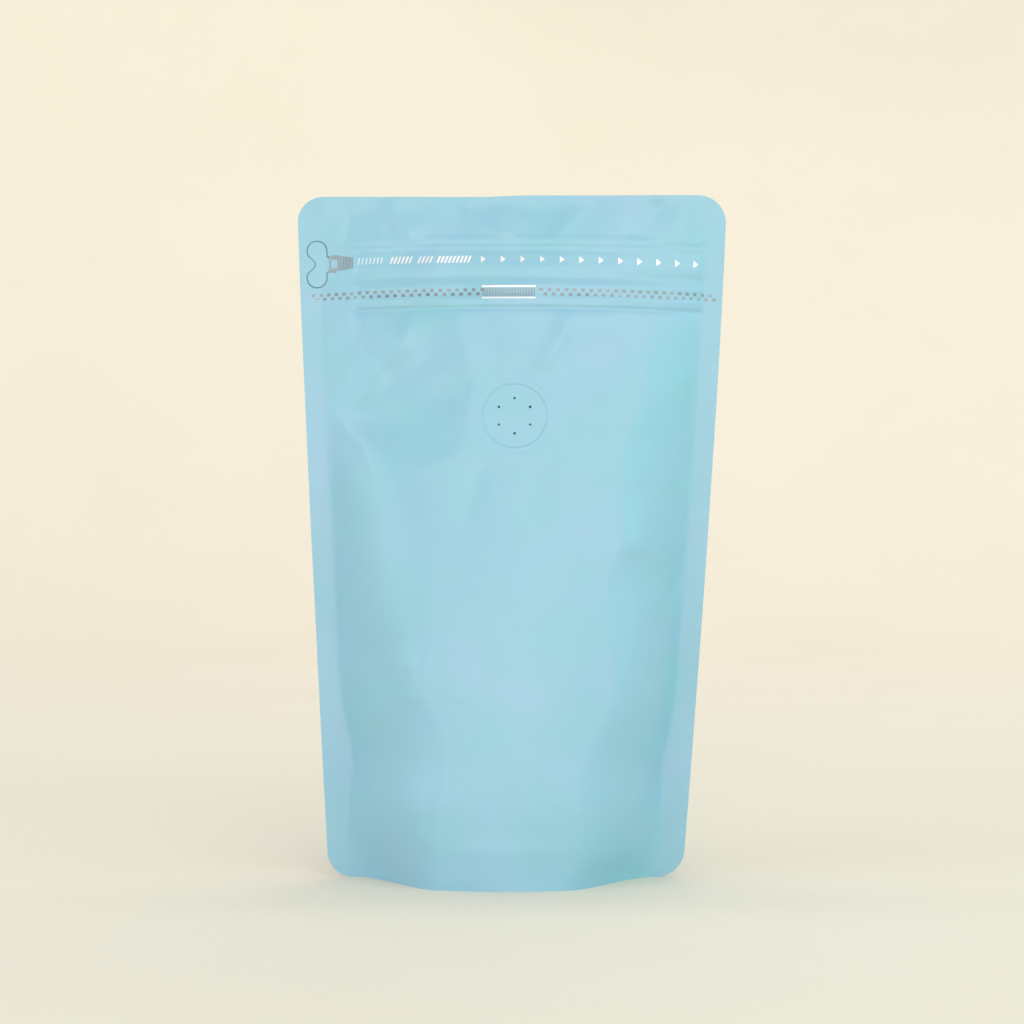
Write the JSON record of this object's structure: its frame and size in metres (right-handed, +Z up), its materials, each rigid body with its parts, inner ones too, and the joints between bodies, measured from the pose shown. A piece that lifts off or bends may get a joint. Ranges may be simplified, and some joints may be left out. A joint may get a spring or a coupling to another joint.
{
  "type": "stand-up coffee pouch",
  "caption": "Filled stand-up pouch of matte laminate with flat side seals, a tear-off zipper band, a die-cut pull tab and a one-way degassing valve.",
  "frame": {"origin": "middle of the footprint, on the floor that the pouch stands on", "axes": "+Z up along the pouch's height, -Y towards the front with the valve and the zipper print, +X to the right seen from the front"},
  "size_m": [0.1395, 0.0622, 0.222],
  "materials": {
    "film": "soft matte light blue laminate",
    "valve_film": "soft matte light blue film pressed over the valve",
    "foil_print": "bright foil that shows through unprinted windows"
  },
  "bodies": {
    "root": {"pouch": "film", "valve": "valve_film", "pull_tab": "film"}
  },
  "joints": []
}
